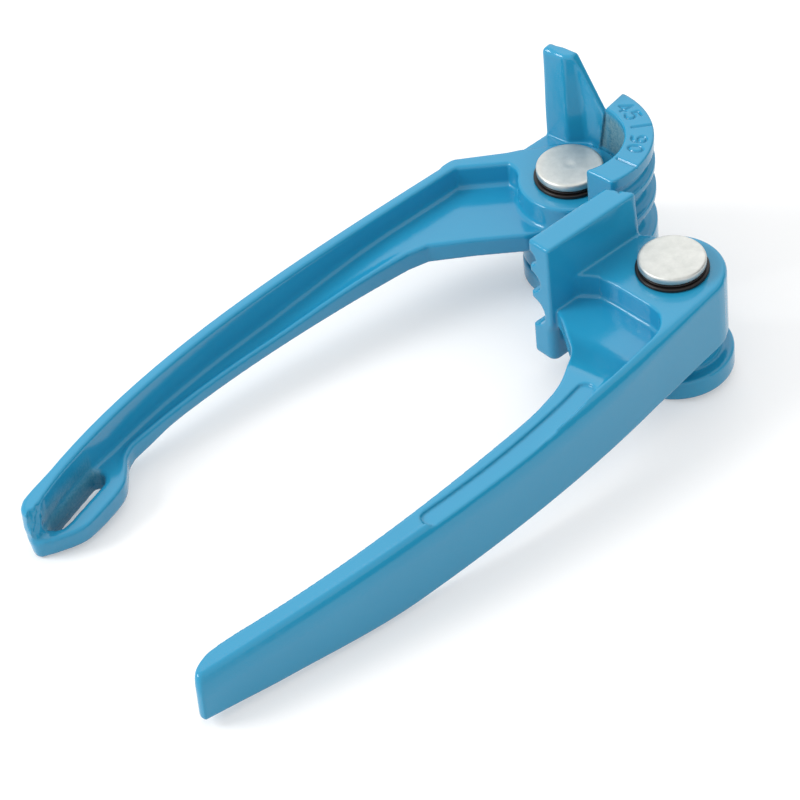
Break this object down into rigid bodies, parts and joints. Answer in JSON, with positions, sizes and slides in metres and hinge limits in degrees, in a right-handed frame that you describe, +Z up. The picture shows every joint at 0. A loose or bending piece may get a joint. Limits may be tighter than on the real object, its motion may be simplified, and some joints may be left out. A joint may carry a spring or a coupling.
{
  "type": "tube bender",
  "caption": "Plier-style hand bender for small soft tube: a grooved former with a bend scale and a swinging grooved shoe, on two handles joined by a link.",
  "frame": {"origin": "axis of the former's pivot pin, level with the flat underside of the link and the pin's tail", "axes": "+X from the pivot through the scale's zero mark, so both handles run to -X; +Y along a straight tube laid in the former; +Z up along the pins, towards their heads"},
  "size_m": [0.1545, 0.0734, 0.0425],
  "materials": {
    "blue_enamel": "glossy blue enamel on a die casting",
    "zinc_plate": "bright zinc plate",
    "black_oxide": "oiled black oxide",
    "spring_steel": "bare spring steel"
  },
  "bodies": {
    "former": {"former_handle": "blue_enamel", "former_pin": "zinc_plate", "former_head_washer": "black_oxide", "former_spring_washer": "black_oxide", "former_thrust_washer": "spring_steel", "former_retaining_ring": "spring_steel"},
    "link": {"link": "blue_enamel", "shoe_pin": "zinc_plate", "shoe_head_washer": "black_oxide", "shoe_spring_washer": "black_oxide", "shoe_thrust_washer": "spring_steel", "shoe_retaining_ring": "spring_steel"},
    "shoe": {"shoe_handle": "blue_enamel"}
  },
  "joints": [
    {"name": "link_swing", "type": "hinge", "parent": "former", "child": "link", "pos_m": [0, 0, 0.01], "axis": [0, 0, 1], "range_deg": [-10, 110]},
    {"name": "shoe_swing", "type": "hinge", "parent": "link", "child": "shoe", "pos_m": [-0.01106, -0.03088, 0.01], "axis": [0, 0, 1], "range_deg": [-10, 120]}
  ]
}
